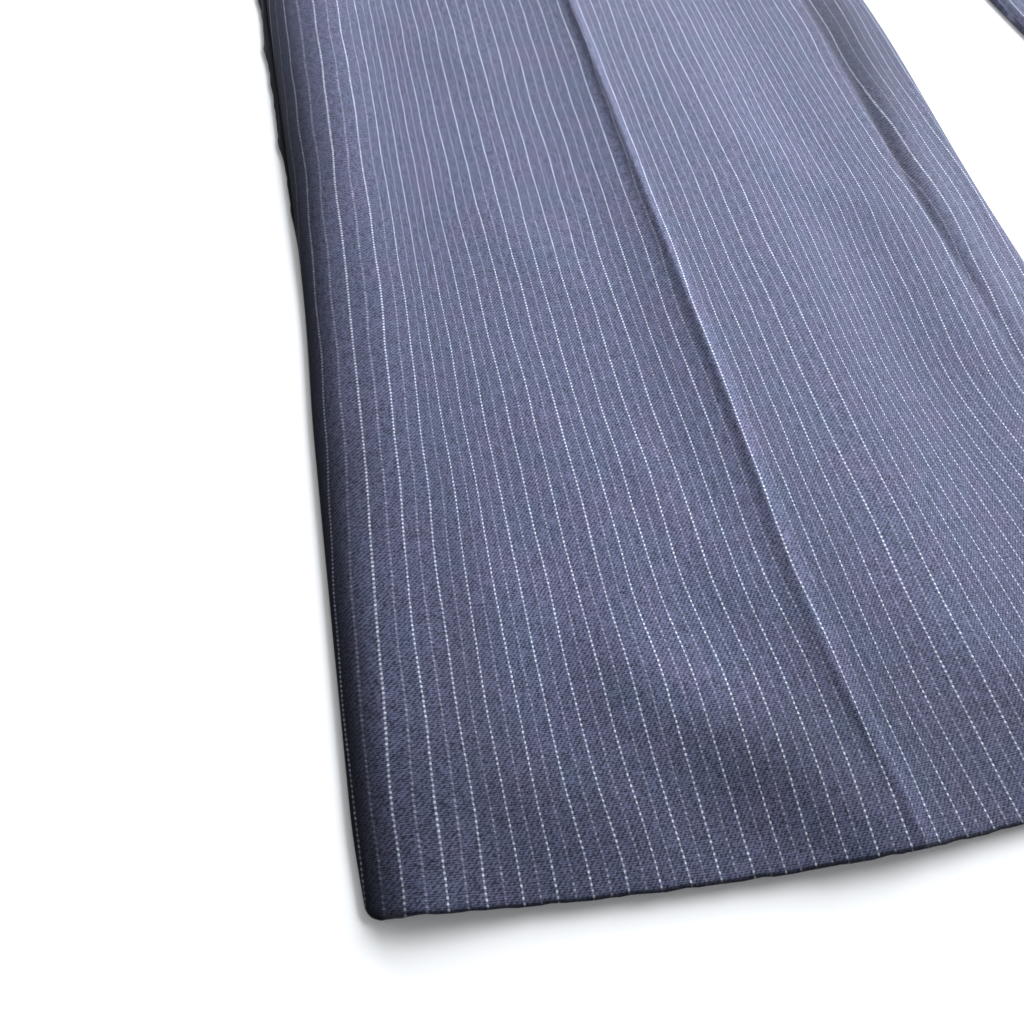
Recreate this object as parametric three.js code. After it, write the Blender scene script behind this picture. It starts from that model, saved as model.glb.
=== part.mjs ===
// Pinstripe suit trousers laid flat, front up: millimetres, +Z up, waist towards +Y, hems towards -Y.
// The wearer's right leg is on the -X side. The origin is the centre of the outline, on the surface below.
import * as THREE from "three";

// Driving dimensions
const TOTAL_LENGTH = 1050; // waistband top to the lowest point of the hem
const WAISTBAND_HEIGHT = 38;
const CREASE_X = 145; // pressed crease to the centre line
const CLOTH = 1.2; // wall of one panel
const BAND = 1.5; // wall of the waistband, doubled cloth
const SEAM_GAP = 0.3; // between sewn pieces, and between layers that lie on each other
const HEM_DIP = 7.2; // hem at the crease, below the hem at the side seams
const CREASE_HEIGHT = 3.5; // ridge of the pressed crease above the panel round it
const LOFT = 0.8; // a front panel's lift off the back between its seams
const BACK_HEM_INSET = 1.5; // the back's hem ends this far above the front's
const CROTCH_HEIGHT = 790; // this and the next three are heights above the side seam's hem
const SEAM_HEIGHT = TOTAL_LENGTH - HEM_DIP - WAISTBAND_HEIGHT; // where the panels meet the waistband
const DIP_FADE = 90; // the hem's dip is spread over the rows below this
const BAND_EASE = 60; // the folds settle over this distance below the waistband
const SEAM_EASE = 16; // and over this distance beside a seam
const WAIST_HALF = 221;
const FLY_LENGTH = 172;
const FLY_WIDTH = 38;
const FLY_TIP = 3; // width left at the fly's lower end
const FLY_LAP = 4; // the fly reaches this far past the centre seam
const BAND_LAP = 34; // the wearer's left band end lies this far over the right one
const LAP_START = 14; // the left band starts to rise over the right one here
const LAP_LEVEL = 4; // and lies level from here
const BUTTON_RADIUS = 7.5;
const BUTTON_THICKNESS = 2.6;
const BUTTON_BEVEL = 0.6;
const BUTTON_FROM_END = 14; // button's centre to the band's lapped end
const HOLE_RADIUS = 1.2;
const HOLE_CIRCLE = 1.9; // the four holes' centres lie on this radius

// Outline of one leg and its half of the seat, by height above the side seam's hem.
// outseam and inseam are distances from the crease; from the crotch up the inner edge is the centre seam.
const OUTLINE = [
  { height: 0, outseam: 104.6, inseam: 104.6 },
  { height: 60, outseam: 105.4, inseam: 105.2 },
  { height: 160, outseam: 107.2, inseam: 108.6 },
  { height: 290, outseam: 111.6, inseam: 116.6 },
  { height: 520, outseam: 121.0, inseam: 121.0 },
  { height: 680, outseam: 131.0, inseam: 128.0 },
  { height: 790, outseam: 139.0, inseam: 145.0 },
  { height: 850, outseam: 136.0, inseam: 145.0 },
  { height: 905, outseam: 124.0, inseam: 145.0 },
  { height: 960, outseam: 101.0, inseam: 145.0 },
  { height: 1004.8, outseam: 76.0, inseam: 145.0 },
];

// The outseam of the photographed leg rolls under a little, so its back panel shows past the front.
const BACK_SHOWS = [
  { height: 0, width: 0 },
  { height: 150, width: 0.4 },
  { height: 185, width: 2.2 },
  { height: 320, width: 4.4 },
  { height: 520, width: 3.0 },
  { height: 700, width: 0 },
  { height: 1004.8, width: 0 },
];

// Soft folds. Ends are (distance from the crease towards the inseam, height above the hem).
const RIGHT_FOLDS = [
  { name: "roll inside the outseam", x1: -90, y1: -10, x2: -92, y2: 360, reach: 13, rise: 2.2 },
  { name: "dip beside that roll", x1: -58, y1: 70, x2: -66, y2: 330, reach: 12, rise: -0.8 },
  { name: "bulge above the hem", x1: -42, y1: 38, x2: -8, y2: 14, reach: 13, rise: 1.9 },
  { name: "buckle down to the hem", x1: -62, y1: 128, x2: -38, y2: 68, reach: 9, rise: 1.0 },
  { name: "dip past the crease", x1: 52, y1: 60, x2: 60, y2: 260, reach: 14, rise: -0.8 },
  { name: "roll before the inseam", x1: 78, y1: 120, x2: 76, y2: 400, reach: 12, rise: 2.0 },
  { name: "dip before the inseam", x1: 92, y1: 120, x2: 91, y2: 380, reach: 7, rise: -1.2 },
  { name: "fold behind the knee", x1: -96, y1: 560, x2: 40, y2: 500, reach: 20, rise: 2.4 },
  { name: "second knee fold", x1: -60, y1: 470, x2: 84, y2: 425, reach: 17, rise: 1.8 },
  { name: "crotch fold", x1: 128, y1: 800, x2: 10, y2: 700, reach: 19, rise: 3.0 },
  { name: "thigh fold", x1: 120, y1: 850, x2: -60, y2: 800, reach: 22, rise: 2.4 },
];
const LEFT_FOLDS = [
  { name: "roll inside the outseam", x1: -88, y1: 20, x2: -94, y2: 300, reach: 15, rise: 1.8 },
  { name: "bulge above the hem", x1: -30, y1: 52, x2: 20, y2: 30, reach: 16, rise: 1.6 },
  { name: "dip past the crease", x1: 58, y1: 90, x2: 50, y2: 300, reach: 15, rise: -0.8 },
  { name: "roll before the inseam", x1: 80, y1: 60, x2: 84, y2: 330, reach: 13, rise: 1.7 },
  { name: "fold behind the knee", x1: -88, y1: 520, x2: 60, y2: 545, reach: 22, rise: 2.2 },
  { name: "second knee fold", x1: -80, y1: 430, x2: 40, y2: 405, reach: 18, rise: 1.6 },
  { name: "crotch fold", x1: 126, y1: 790, x2: 24, y2: 712, reach: 21, rise: 2.8 },
  { name: "thigh fold", x1: 112, y1: 862, x2: -40, y2: 826, reach: 20, rise: 2.2 },
];

// Height of the crease along the leg: low near the hem, gone by the hip.
const CREASE_STRENGTH = [
  { height: -HEM_DIP, share: 0.45 },
  { height: 60, share: 0.6 },
  { height: 150, share: 0.95 },
  { height: 320, share: 1 },
  { height: 560, share: 0.7 },
  { height: 820, share: 0.35 },
  { height: 930, share: 0 },
  { height: 1004.8, share: 0 },
];

// Section of the crease: sharp at its crest, steep on the outseam side, easing down past it.
const CREASE_SECTION = [
  { offset: -34, share: 0 },
  { offset: -20, share: 0.12 },
  { offset: -9, share: 0.36 },
  { offset: -2.4, share: 0.6 },
  { offset: 0, share: 1 },
  { offset: 5, share: 0.9 },
  { offset: 12, share: 0.66 },
  { offset: 22, share: 0.3 },
  { offset: 38, share: 0 },
];

// Rows and columns of the panel grids
const FRONT_ROWS = [
  0, 14, 30, 48, 68, 90, 115, 145, 180, 220, 265, 315, 370, 420, 465, 505, 545, 590, 640, 690, 730, 765, 790,
  820, 850, 885, 925, 965, 1004.8,
];
const BACK_ROWS = [0, 60, 120, 185, 250, 320, 420, 520, 600, 680, 740, 790, 840, 890, 950, 1004.8];
const CREASE_COLUMNS = [-34, -20, -9, -2.4, 0, 5, 12, 22, 38];
const SIDE_COLUMNS = 6;
const BACK_COLUMNS = 9;
const FLY_ROWS = 12;
const FLY_COLUMNS = 6;
const TURN_STEPS = 6;
const BAND_STATIONS = [70, 140];

const HEM_Y = HEM_DIP - TOTAL_LENGTH / 2; // the side seam's hem in the garment's frame
const BAND_TOP_Y = TOTAL_LENGTH / 2;
const BAND_LOW_Y = BAND_TOP_Y - WAISTBAND_HEIGHT;

const CHARCOAL_NAVY = { color: 0x3b3d52, roughness: 0.86, metalness: 0 };
const BUTTON_NAVY = { color: 0x1f2130, roughness: 0.35, metalness: 0 };

// A smooth curve through a table: Hermite pieces whose slopes are those between neighbours.
function along(table, key, value, at) {
  const last = table.length - 1;
  if (at <= table[0][key]) return table[0][value];
  if (at >= table[last][key]) return table[last][value];
  let i = 0;
  while (at > table[i + 1][key]) i += 1;
  const slope = (a, b) => (table[b][value] - table[a][value]) / (table[b][key] - table[a][key]);
  const from = i === 0 ? slope(0, 1) : limited(slope(i - 1, i), slope(i, i + 1));
  const to = i + 1 === last ? slope(i, last) : limited(slope(i, i + 1), slope(i + 1, i + 2));
  const span = table[i + 1][key] - table[i][key];
  const t = (at - table[i][key]) / span;
  const t2 = t * t;
  const t3 = t2 * t;
  const start = table[i][value] * (2 * t3 - 3 * t2 + 1) + from * span * (t3 - 2 * t2 + t);
  const end = table[i + 1][value] * (3 * t2 - 2 * t3) + to * span * (t3 - t2);
  return start + end;
}

// The slope at a table row, kept flat at peaks so that the curve never overshoots them.
function limited(before, after) {
  if (before * after <= 0) return 0;
  return (2 * before * after) / (before + after);
}

// Straight lines between the rows of a table, for the sharp crest of the crease.
function straight(table, key, value, at) {
  const last = table.length - 1;
  if (at <= table[0][key] || at >= table[last][key]) return 0;
  let i = 0;
  while (at > table[i + 1][key]) i += 1;
  const t = (at - table[i][key]) / (table[i + 1][key] - table[i][key]);
  return table[i][value] + t * (table[i + 1][value] - table[i][value]);
}

// One soft fold: highest on the line between its ends, and fading past them.
function foldRise(fold, x, height) {
  const dx = fold.x2 - fold.x1;
  const dy = fold.y2 - fold.y1;
  const length = Math.hypot(dx, dy);
  const run = ((x - fold.x1) * dx + (height - fold.y1) * dy) / length;
  const across = ((x - fold.x1) * dy - (height - fold.y1) * dx) / length;
  const past = Math.max(0, -run, run - length);
  return fold.rise * Math.exp(-(across * across + past * past) / (fold.reach * fold.reach));
}

// Distance of the hem below the side seam's hem: a smooth dip that is deepest at the crease.
function hemDip(share) {
  return HEM_DIP * (1 - Math.pow(Math.abs(share), 1.7));
}

// Underside of a front panel above the surface that the garment lies on.
function frontUnderside(x, height, edgeDistance, folds) {
  const nearSeam = Math.min(1, Math.max(0, edgeDistance / SEAM_EASE));
  const ease = nearSeam * nearSeam * (3 - 2 * nearSeam);
  const crease = along(CREASE_STRENGTH, "height", "share", height) * CREASE_HEIGHT;
  let lift = LOFT + crease * straight(CREASE_SECTION, "offset", "share", x);
  for (const fold of folds) lift += foldRise(fold, x, height);
  const nearBand = Math.min(1, Math.max(0, (SEAM_HEIGHT - height) / BAND_EASE));
  return CLOTH + SEAM_GAP + Math.max(0, lift) * ease * nearBand;
}

// A closed wall between two equal grids of points: the outer skin, the inner skin and the rim.
function wall(outer, inner) {
  const rows = outer.length;
  const columns = outer[0].length;
  const positions = [];
  const indices = [];
  for (const grid of [outer, inner]) for (const row of grid) for (const p of row) positions.push(...p);
  const at = (side, r, c) => side * rows * columns + r * columns + c;
  const quad = (a, b, c, d) => indices.push(a, b, c, a, c, d);
  for (let r = 0; r < rows - 1; r += 1) {
    for (let c = 0; c < columns - 1; c += 1) {
      quad(at(0, r, c), at(0, r, c + 1), at(0, r + 1, c + 1), at(0, r + 1, c));
      quad(at(1, r, c), at(1, r + 1, c), at(1, r + 1, c + 1), at(1, r, c + 1));
    }
  }
  for (let c = 0; c < columns - 1; c += 1) {
    quad(at(0, 0, c), at(1, 0, c), at(1, 0, c + 1), at(0, 0, c + 1));
    quad(at(0, rows - 1, c), at(0, rows - 1, c + 1), at(1, rows - 1, c + 1), at(1, rows - 1, c));
  }
  for (let r = 0; r < rows - 1; r += 1) {
    quad(at(0, r, 0), at(0, r + 1, 0), at(1, r + 1, 0), at(1, r, 0));
    quad(at(0, r, columns - 1), at(1, r, columns - 1), at(1, r + 1, columns - 1), at(0, r + 1, columns - 1));
  }
  const geometry = new THREE.BufferGeometry();
  geometry.setAttribute("position", new THREE.Float32BufferAttribute(positions, 3));
  geometry.setIndex(indices);
  geometry.computeVertexNormals();
  return geometry;
}

// Mirrors a grid to the wearer's left side and keeps its faces pointing out.
function mirrored(grid) {
  return grid.map((row) => row.map(([x, y, z]) => [-x, y, z]).reverse());
}

// Columns of a front panel at one height: outseam, crease columns, inner edge.
function frontColumns(outseam, inner) {
  const columns = [];
  const first = CREASE_COLUMNS[0];
  const last = CREASE_COLUMNS[CREASE_COLUMNS.length - 1];
  for (let i = 0; i < SIDE_COLUMNS; i += 1) columns.push(-outseam + ((first + outseam) * i) / SIDE_COLUMNS);
  columns.push(...CREASE_COLUMNS);
  for (let i = 1; i <= SIDE_COLUMNS; i += 1) columns.push(last + ((inner - last) * i) / SIDE_COLUMNS);
  return columns;
}

// Height of a row's point in the garment's frame; the hem's dip fades out within the lowest rows.
function rowY(height, share, inset) {
  const fade = Math.max(0, 1 - height / DIP_FADE);
  return HEM_Y + height - hemDip(share) * fade + inset * fade;
}

function innerEdge(height) {
  const inseam = along(OUTLINE, "height", "inseam", height);
  return Math.min(inseam, CREASE_X - SEAM_GAP / 2);
}

// Top and underside of a front panel on the wearer's right, as grids of points.
function frontGrids(folds) {
  const top = [];
  const under = [];
  for (const height of FRONT_ROWS) {
    const outseam = along(OUTLINE, "height", "outseam", height);
    const inner = innerEdge(height);
    const columns = frontColumns(outseam, inner);
    const points = columns.map((x) => {
      const share = x < 0 ? -x / outseam : x / inner;
      const seam = height > CROTCH_HEIGHT ? x + outseam : Math.min(x + outseam, inner - x);
      const z = frontUnderside(x, height, seam, folds);
      return [x - CREASE_X, rowY(height, share, 0), z];
    });
    under.push(points);
    top.push(points.map(([x, y, z]) => [x, y, z + CLOTH]));
  }
  return { top, under };
}

// Top and underside of a back panel, flat on the surface.
function backGrids(showsPast) {
  const top = [];
  const under = [];
  for (const height of BACK_ROWS) {
    const shows = showsPast ? along(BACK_SHOWS, "height", "width", height) : 0;
    const outseam = along(OUTLINE, "height", "outseam", height) + shows;
    const inner = innerEdge(height);
    const row = [];
    for (let i = 0; i < BACK_COLUMNS; i += 1) {
      const x = -outseam + ((inner + outseam) * i) / (BACK_COLUMNS - 1);
      const share = x < 0 ? -x / outseam : x / inner;
      row.push([x - CREASE_X, rowY(height, share, BACK_HEM_INSET), 0]);
    }
    under.push(row);
    top.push(row.map(([x, y]) => [x, y, CLOTH]));
  }
  return { top, under };
}

// The waistband half follows a path of (x, z) points round the side, seen along Y, with its wall to the right.
function bandPath(endX, endLift) {
  const lowMiddle = BAND / 2;
  const highMiddle = lowMiddle + BAND + SEAM_GAP;
  const turnRadius = (highMiddle - lowMiddle) / 2;
  const path = [];
  path.push([-SEAM_GAP / 2, lowMiddle]);
  for (const x of BAND_STATIONS) path.push([-x, lowMiddle]);
  path.push([-WAIST_HALF, lowMiddle]);
  for (let i = 1; i < TURN_STEPS; i += 1) {
    const angle = (Math.PI * i) / TURN_STEPS;
    path.push([-WAIST_HALF - turnRadius * Math.sin(angle), lowMiddle + turnRadius * (1 - Math.cos(angle))]);
  }
  path.push([-WAIST_HALF, highMiddle]);
  for (const x of [...BAND_STATIONS].reverse()) path.push([-x, highMiddle]);
  path.push([-LAP_START, highMiddle]);
  if (endLift > 0) path.push([-LAP_LEVEL, highMiddle + endLift]);
  path.push([endX, highMiddle + endLift]);
  return path;
}

// Offsets a path to both sides and carries it up the band's height.
function bandGrids(path) {
  const outer = [];
  const inner = [];
  for (let i = 0; i < path.length; i += 1) {
    const before = path[Math.max(0, i - 1)];
    const after = path[Math.min(path.length - 1, i + 1)];
    const dx = after[0] - before[0];
    const dz = after[1] - before[1];
    const length = Math.hypot(dx, dz);
    const reach = BAND / 2 / length;
    const skin = (side, y) => [path[i][0] + side * dz * reach, y, path[i][1] - side * dx * reach];
    outer.push([skin(-1, BAND_LOW_Y), skin(-1, BAND_TOP_Y)]);
    inner.push([skin(1, BAND_LOW_Y), skin(1, BAND_TOP_Y)]);
  }
  return { outer, inner };
}

function mesh(name, geometry, look) {
  const piece = new THREE.Mesh(geometry, new THREE.MeshStandardMaterial(look));
  piece.name = name;
  return piece;
}

function frontPanel(name, folds, isLeft) {
  const { top, under } = frontGrids(folds);
  const geometry = isLeft ? wall(mirrored(top), mirrored(under)) : wall(top, under);
  return mesh(name, geometry, CHARCOAL_NAVY);
}

function backPanel(name, showsPast, isLeft) {
  const { top, under } = backGrids(showsPast);
  const geometry = isLeft ? wall(mirrored(top), mirrored(under)) : wall(top, under);
  return mesh(name, geometry, CHARCOAL_NAVY);
}

function waistband(name, isLeft) {
  const lift = BAND + SEAM_GAP;
  const path = isLeft ? bandPath(BAND_LAP, lift) : bandPath(-SEAM_GAP, 0);
  const { outer, inner } = bandGrids(path);
  const geometry = isLeft ? wall(mirrored(inner), mirrored(outer)) : wall(inner, outer);
  return mesh(name, geometry, CHARCOAL_NAVY);
}

// The fly is a strip on the two fronts, along the centre seam, with a rounded lower end.
function fly() {
  const top = [];
  const under = [];
  const roundness = 0.7; // below 1, the strip is full-width sooner
  for (let r = 0; r <= FLY_ROWS; r += 1) {
    const angle = (Math.PI / 2) * (r / FLY_ROWS);
    const height = SEAM_HEIGHT - FLY_LENGTH * Math.cos(angle);
    const width = FLY_WIDTH * Math.pow(Math.sin(angle), roundness) + FLY_TIP;
    const underRow = [];
    for (let c = 0; c <= FLY_COLUMNS; c += 1) {
      const x = -FLY_LAP + ((width + FLY_LAP) * c) / FLY_COLUMNS;
      const folds = x > 0 ? LEFT_FOLDS : RIGHT_FOLDS;
      const fromCrease = CREASE_X - Math.abs(x);
      const outseam = along(OUTLINE, "height", "outseam", height);
      const panel = frontUnderside(fromCrease, height, fromCrease + outseam, folds) + CLOTH;
      underRow.push([x, HEM_Y + height, panel]);
    }
    const highest = Math.max(...underRow.map((p) => p[2])) + SEAM_GAP;
    under.push(underRow.map(([x, y]) => [x, y, highest]));
    top.push(underRow.map(([x, y]) => [x, y, highest + CLOTH]));
  }
  return mesh("fly", wall(top, under), CHARCOAL_NAVY);
}

// A four-hole button on the lapped end of the band.
function waistButton() {
  const disc = new THREE.Shape();
  disc.absarc(0, 0, BUTTON_RADIUS - BUTTON_BEVEL, 0, Math.PI * 2, false);
  for (let i = 0; i < 4; i += 1) {
    const angle = Math.PI / 4 + (Math.PI / 2) * i;
    const hole = new THREE.Path();
    hole.absarc(HOLE_CIRCLE * Math.cos(angle), HOLE_CIRCLE * Math.sin(angle), HOLE_RADIUS, 0, Math.PI * 2, true);
    disc.holes.push(hole);
  }
  const geometry = new THREE.ExtrudeGeometry(disc, {
    depth: BUTTON_THICKNESS - 2 * BUTTON_BEVEL,
    bevelEnabled: true,
    bevelThickness: BUTTON_BEVEL,
    bevelSize: BUTTON_BEVEL,
    bevelSegments: 1,
    curveSegments: 9,
  });
  const button = mesh("waist_button", geometry, BUTTON_NAVY);
  const bandTop = BAND * 3 + SEAM_GAP * 2;
  const middleY = (BAND_LOW_Y + BAND_TOP_Y) / 2;
  button.position.set(-BAND_LAP + BUTTON_FROM_END, middleY, bandTop + SEAM_GAP + BUTTON_BEVEL);
  return button;
}

const group = new THREE.Group();
group.add(backPanel("back_right", true, false));
group.add(backPanel("back_left", false, true));
group.add(frontPanel("front_right", RIGHT_FOLDS, false));
group.add(frontPanel("front_left", LEFT_FOLDS, true));
group.add(waistband("waistband_right", false));
group.add(waistband("waistband_left", true));
group.add(fly());
group.add(waistButton());

export default group;
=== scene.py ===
"""Looks of pinstripe suit trousers laid flat, front up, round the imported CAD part.

The tables below are in millimetres, as in the part's source, and MM turns them into Blender's metres.
+Y is towards the waist, -X is the wearer's right and Z is up. On a leg, x is the distance from the
pressed crease towards the inseam, and height is measured from the side seam's hem.
"""
from collections import namedtuple

import bpy
import numpy as np
from mathutils import Matrix, Vector


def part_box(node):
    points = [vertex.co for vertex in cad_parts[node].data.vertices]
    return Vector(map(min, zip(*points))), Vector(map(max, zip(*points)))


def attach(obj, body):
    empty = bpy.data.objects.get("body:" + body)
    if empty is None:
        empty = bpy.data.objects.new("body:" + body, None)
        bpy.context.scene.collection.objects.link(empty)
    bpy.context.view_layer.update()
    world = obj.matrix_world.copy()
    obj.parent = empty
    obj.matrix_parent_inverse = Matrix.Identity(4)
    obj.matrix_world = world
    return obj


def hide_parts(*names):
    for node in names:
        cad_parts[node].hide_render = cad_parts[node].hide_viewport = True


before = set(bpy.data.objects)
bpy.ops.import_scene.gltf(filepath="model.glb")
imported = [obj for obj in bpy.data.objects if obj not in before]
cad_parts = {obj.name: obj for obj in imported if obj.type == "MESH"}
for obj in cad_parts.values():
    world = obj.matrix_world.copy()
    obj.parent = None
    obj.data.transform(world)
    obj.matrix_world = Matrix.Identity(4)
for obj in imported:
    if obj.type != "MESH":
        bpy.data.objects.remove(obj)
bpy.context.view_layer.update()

MM = 0.001

# The garment's sizes, as in the part's source
TOTAL_LENGTH = 1050
WAISTBAND_HEIGHT = 38
CREASE_X = 145
CLOTH = 1.2
BAND = 1.5
SEAM_GAP = 0.3
HEM_DIP = 7.2
CREASE_HEIGHT = 3.5
LOFT = 0.8
BACK_HEM_INSET = 1.5
CROTCH_HEIGHT = 790
SEAM_HEIGHT = TOTAL_LENGTH - HEM_DIP - WAISTBAND_HEIGHT
DIP_FADE = 90
DIP_POWER = 1.7
BAND_EASE = 60
SEAM_EASE = 16
WAIST_HALF = 221
FLY_LENGTH = 172
FLY_WIDTH = 38
FLY_TIP = 3
FLY_LAP = 4
FLY_ROUNDNESS = 0.7
FLY_HALF = 0.35  # half the thickness of the fly's cloth, which is thinner than the panels' walls
BAND_LAP = 34
BAND_GRAIN_START = 2  # place in the weave of the band's lower edge
LAP_START = 14
LAP_LEVEL = 4
BUTTON_RADIUS = 7.5
HOLE_CIRCLE = 1.9  # the button's holes lie this far from its centre
HEM_Y = HEM_DIP - TOTAL_LENGTH / 2
BAND_TOP_Y = TOTAL_LENGTH / 2
BAND_LOW_Y = BAND_TOP_Y - WAISTBAND_HEIGHT

# Outline of a leg: rows of (height, distance from the crease). The inseam follows the photograph more closely
# than the part's solids do, and so do the back's strip and some folds below, by up to 2 mm.
OUTSEAM = [(0, 104.6), (60, 105.4), (160, 107.2), (290, 111.6), (520, 121), (680, 131), (790, 139),
           (850, 136), (905, 124), (960, 101), (1004.8, 76)]
INSEAM = [(0, 104.6), (60, 105.2), (160, 108.9), (290, 118.4), (520, 121.5), (680, 128), (790, 145),
          (1004.8, 145)]
# Width of the back panel that shows past the photographed outseam
BACK_SHOWS = [(0, 0), (150, 0.4), (190, 1.2), (240, 2), (320, 2.8), (520, 2.6), (700, 0), (1004.8, 0)]
CREASE_STRENGTH = [(-HEM_DIP, 0.45), (60, 0.6), (150, 0.95), (320, 1), (560, 0.7), (820, 0.35), (930, 0),
                   (1004.8, 0)]
# Rows of (offset from the crest, share of the crease's height)
CREASE_OUTER = [(-34, 0), (-20, 0.12), (-9, 0.36), (-2.4, 0.6), (0, 1)]
CREASE_INNER = [(0, 1), (3, 0.84), (12, 0.6), (22, 0.36), (38, 0.16), (66, 0)]
# The dressed cloth's crest wanders off the crease's line: rows of (height, distance towards the inseam)
CREST_LINE = [(0, 2.4), (8, 2.1), (24, 0.2), (47, -1.6), (75, -1.3), (106, -0.8), (186, -1), (238, -0.6),
              (298, -0.1), (420, 0), (1004.8, 0)]
# The cloth steps up past a sharp valley beside the photographed inseam: the valley's line by height, the
# step's strength by height, and rows of (distance past the line, share of the step)
STEP_LINE = [(0, 83), (150, 84.4), (191, 86.3), (235, 89.1), (288, 92), (360, 95.5), (1004.8, 100)]
STEP_STRENGTH = [(0, 0), (90, 0.15), (150, 0.6), (190, 0.8), (240, 1), (330, 1), (450, 0), (1004.8, 0)]
STEP = [(-12, 0), (-4, 0.06), (-1.4, 0.02), (0.3, -0.36), (1.6, -0.28), (5, 0.45), (10, 1), (17, 0.7),
        (30, 0)]
STEP_RISE = 1.3
# Painted shade on its far bank, darkest in the valley where the shadow gathers: rows of (distance past the
# line, share of the shade), how dark it is by height, and how wide
STEP_DARK = [(-1.6, 0), (-0.3, 0.5), (0.5, 1), (1.6, 0.8), (4, 0.45), (9, 0.32), (16, 0.2), (26, 0)]
STEP_SHADE = [(0, 0), (110, 0.12), (160, 0.34), (210, 0.6), (250, 0.42), (290, 0.3), (400, 0.1), (500, 0)]
STEP_SPREAD = [(0, 0.5), (190, 0.6), (235, 0.9), (288, 1.5), (1004.8, 1.5)]
STEP_PLACE = 0.785  # share of the way from the crease to the inseam where the step lies

# Folds run between two ends (x, height), reach this far to each side and rise this high
Fold = namedtuple("Fold", "name x1 y1 x2 y2 reach rise")
RIGHT_FOLDS = [
    Fold("roll inside the outseam", -90, -10, -92, 360, 13, 2.2),
    Fold("dip beside that roll", -58, 70, -66, 330, 14, -0.35),
    Fold("bulge above the hem", -44, 41, -7, 8, 11, 2.1),
    Fold("buckle down to the hem", -62, 128, -38, 68, 12, 0.45),
    Fold("dip past the crease", 52, 60, 58, 160, 14, -0.5),
    Fold("roll before the inseam", 74, 120, 73, 400, 17, 1.5),
    Fold("fold behind the knee", -96, 560, 40, 500, 20, 2.4),
    Fold("second knee fold", -60, 470, 84, 425, 17, 1.8),
    Fold("crotch fold", 128, 800, 10, 700, 19, 3.0),
    Fold("thigh fold", 120, 850, -60, 800, 22, 2.4),
]
LEFT_FOLDS = [
    Fold("roll inside the outseam", -88, 20, -94, 300, 15, 1.8),
    Fold("bulge above the hem", -30, 52, 20, 30, 16, 1.6),
    Fold("dip past the crease", 58, 90, 50, 300, 15, -0.8),
    Fold("roll before the inseam", 80, 60, 84, 330, 13, 1.7),
    Fold("fold behind the knee", -88, 520, 60, 545, 22, 2.2),
    Fold("second knee fold", -80, 430, 40, 405, 18, 1.6),
    Fold("crotch fold", 126, 790, 24, 712, 21, 2.8),
    Fold("thigh fold", 112, 862, -40, 826, 20, 2.2),
]
# Smaller folds that only the dressed cloth has
SMALL_FOLDS = [
    Fold("pull at the hem's corner", -96, 4, -78, 40, 6, 0.4),
    Fold("ripple above the hem", -74, 22, -50, 12, 6, 0.45),
    Fold("ripple by the crease", -30, 92, -14, 54, 6, 0.5),
    Fold("ripple past the crease", 24, 40, 46, 18, 8, 0.6),
    Fold("shin ripple", -52, 190, -28, 150, 9, 0.35),
    Fold("shin ripple past the crease", 40, 210, 66, 168, 9, 0.4),
    Fold("calf ripple", -74, 300, -40, 262, 10, 0.4),
    Fold("ripple under the knee", 20, 330, 70, 300, 9, 0.5),
    Fold("knee pucker", -80, 420, -30, 436, 9, 0.8),
    Fold("second knee pucker", 10, 455, 96, 480, 8, 0.7),
    Fold("third knee pucker", -100, 505, -52, 488, 8, 0.7),
    Fold("thigh ripple", -90, 640, 10, 610, 13, 0.8),
    Fold("second thigh ripple", 20, 655, 108, 690, 12, 0.9),
    Fold("crotch pucker", 138, 770, 96, 742, 7, 0.9),
    Fold("second crotch pucker", 134, 742, 84, 700, 7, 0.8),
    Fold("lap crease", 138, 880, 60, 868, 10, 1.0),
    Fold("hip ripple", -118, 850, -60, 872, 12, 0.8),
    Fold("ripple below the band", -50, 960, -28, 900, 8, 0.5),
    Fold("second ripple below the band", 30, 955, 42, 890, 9, 0.5),
]

FINE_ROWS = 340  # a leg panel's rows are closest below this height

# Seams and edges of the dressed cloth
EDGE_DROP = 0.9  # the front turns down this far at its side seams, over the back's edge
EDGE_TURN = 3.0  # and does so over this width
OUT_EASE = 8.5  # the folds die out over this width beside the photographed outseam
# Pressed shelf along the photographed outseam, below the roll: rows of (distance from the edge, height share)
SHELF = [(0, 0), (0.4, 0.12), (1.6, 0.16), (2.6, 0.42), (4.2, 0.8), (7, 0.95), (11, 1)]
SHELF_DROP = 1.3  # depth of the shelf below the roll's foot
# How far the rolled outseam stands past its seam, by height
ROLL_OUT = [(0, 0.3), (20, 1.5), (60, 1.6), (110, 1.5), (160, 0.3), (200, 0)]
BACK_TUCK = 1.7  # the back's edge stays this far inside the front's
SHELF_FADE = (130, 210)  # heights where the shelf gives way to a plain roll
CORNER_RADIUS = 3.0  # of the hem's corners
HEM_RAG = 0.16  # unevenness of the hem's edge
BACK_RAG = 0.5  # and of the back's edge where it shows
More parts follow.
